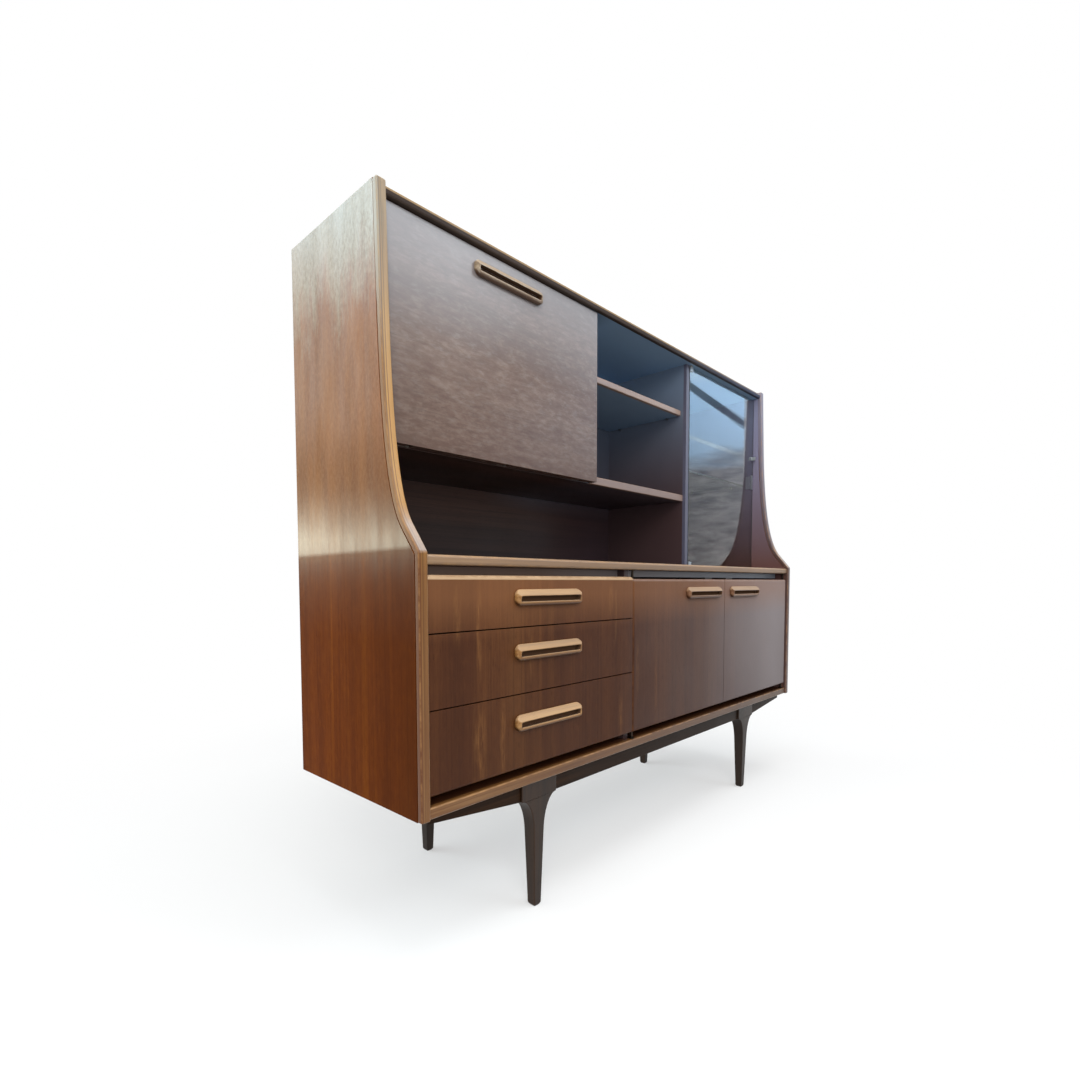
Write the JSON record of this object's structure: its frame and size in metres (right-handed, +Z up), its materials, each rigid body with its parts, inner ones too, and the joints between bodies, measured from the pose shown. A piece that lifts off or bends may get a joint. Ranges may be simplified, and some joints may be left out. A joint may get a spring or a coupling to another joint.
{
  "type": "highboard",
  "caption": "Mid-century teak highboard with a fall flap, open shelves and a glass door over a worktop, drawers and hinged doors below, on a leg frame.",
  "frame": {"origin": "on the floor under the middle of the bounding box", "axes": "+X to the right along the width, +Y towards the back, +Z up; the fronts face -Y"},
  "size_m": [1.68, 0.437, 1.39],
  "materials": {
    "teak_veneer": "oiled teak veneer, satin",
    "solid_teak_edge": "solid golden teak, satin",
    "frame_teak": "stained solid teak, satin",
    "inside_veneer": "dark veneer, matt",
    "drawer_wood": "plain light wood, matt",
    "glass": "clear, polished edges",
    "steel": "satin",
    "brass": "satin, a little dulled",
    "catch_plastic": "matt dark brown"
  },
  "bodies": {
    "carcass": {"side_left": "teak_veneer", "side_right": "teak_veneer", "side_lippings": "solid_teak_edge", "top_panel": "teak_veneer", "top_lipping": "solid_teak_edge", "worktop": "teak_veneer", "worktop_lipping": "solid_teak_edge", "bottom_panel": "teak_veneer", "bottom_lipping": "solid_teak_edge", "upper_floor": "teak_veneer", "flap_divider": "teak_veneer", "glass_divider": "teak_veneer", "middle_shelf": "teak_veneer", "shelf_lippings": "solid_teak_edge", "cabinet_shelf": "inside_veneer", "glass_shelf": "glass", "cupboard_shelf": "inside_veneer", "shelf_pins": "steel", "upper_back": "inside_veneer", "lower_back": "inside_veneer", "drawer_divider": "inside_veneer", "recess_rail": "inside_veneer", "drawer_runners": "drawer_wood", "front_apron": "frame_teak", "rear_apron": "frame_teak", "cross_rails": "frame_teak", "leg_front_left": "frame_teak", "leg_front_right": "frame_teak", "leg_rear_left": "frame_teak", "leg_rear_right": "frame_teak", "frame_screws": "steel", "flap_hinge_brackets": "brass", "door_pivots": "steel", "glass_pivots": "brass", "catches": "catch_plastic", "stay_plate": "steel"},
    "flap": {"flap_panel": "teak_veneer", "flap_handle": "solid_teak_edge", "flap_hinge_pins": "brass", "stay_foot": "steel"},
    "stay_arm": {"stay_rod": "steel"},
    "stay_swivel": {"stay_block": "steel"},
    "drawer_1": {"drawer_1_front": "teak_veneer", "drawer_1_handle": "solid_teak_edge", "drawer_1_box": "drawer_wood", "drawer_1_bottom": "drawer_wood"},
    "drawer_2": {"drawer_2_front": "teak_veneer", "drawer_2_handle": "solid_teak_edge", "drawer_2_box": "drawer_wood", "drawer_2_bottom": "drawer_wood"},
    "drawer_3": {"drawer_3_front": "teak_veneer", "drawer_3_handle": "solid_teak_edge", "drawer_3_box": "drawer_wood", "drawer_3_bottom": "drawer_wood"},
    "left_door": {"left_door_panel": "teak_veneer", "left_door_handle": "solid_teak_edge"},
    "right_door": {"right_door_panel": "teak_veneer", "right_door_handle": "solid_teak_edge"},
    "glass_door": {"glass_pane": "glass", "glass_fittings": "brass"}
  },
  "joints": [
    {"name": "flap_hinge", "type": "hinge", "parent": "carcass", "child": "flap", "pos_m": [-0.5, -0.0815, 0.954], "axis": [1, 0, 0], "range_deg": [0, 90]},
    {"name": "stay_arm_pivot", "type": "hinge", "parent": "flap", "child": "stay_arm", "pos_m": [-0.808, -0.0625, 1.10279], "axis": [1, 0, 0], "range_deg": [-45, 0]},
    {"name": "stay_swivel_pivot", "type": "hinge", "parent": "carcass", "child": "stay_swivel", "pos_m": [-0.808, -0.0065, 1.0839], "axis": [1, 0, 0], "range_deg": [0, 45]},
    {"name": "left_door_hinge", "type": "hinge", "parent": "carcass", "child": "left_door", "pos_m": [-0.17975, -0.1965, 0.508], "axis": [0, 0, -1], "range_deg": [0, 90]},
    {"name": "right_door_hinge", "type": "hinge", "parent": "carcass", "child": "right_door", "pos_m": [0.8095, -0.1965, 0.508], "axis": [0, 0, 1], "range_deg": [0, 90]},
    {"name": "glass_door_hinge", "type": "hinge", "parent": "carcass", "child": "glass_door", "pos_m": [0.334, -0.076, 1.05], "axis": [0, 0, -1], "range_deg": [0, 90]},
    {"name": "drawer_1_slide", "type": "slide", "parent": "carcass", "child": "drawer_1", "axis": [0, -1, 0], "range_m": [0, 0.24]},
    {"name": "drawer_2_slide", "type": "slide", "parent": "carcass", "child": "drawer_2", "axis": [0, -1, 0], "range_m": [0, 0.24]},
    {"name": "drawer_3_slide", "type": "slide", "parent": "carcass", "child": "drawer_3", "axis": [0, -1, 0], "range_m": [0, 0.24]}
  ],
  "couplings": [
    {"joint": "stay_arm_pivot", "follows": "flap_hinge", "ratio": -0.5},
    {"joint": "stay_swivel_pivot", "follows": "flap_hinge", "ratio": 0.5}
  ]
}
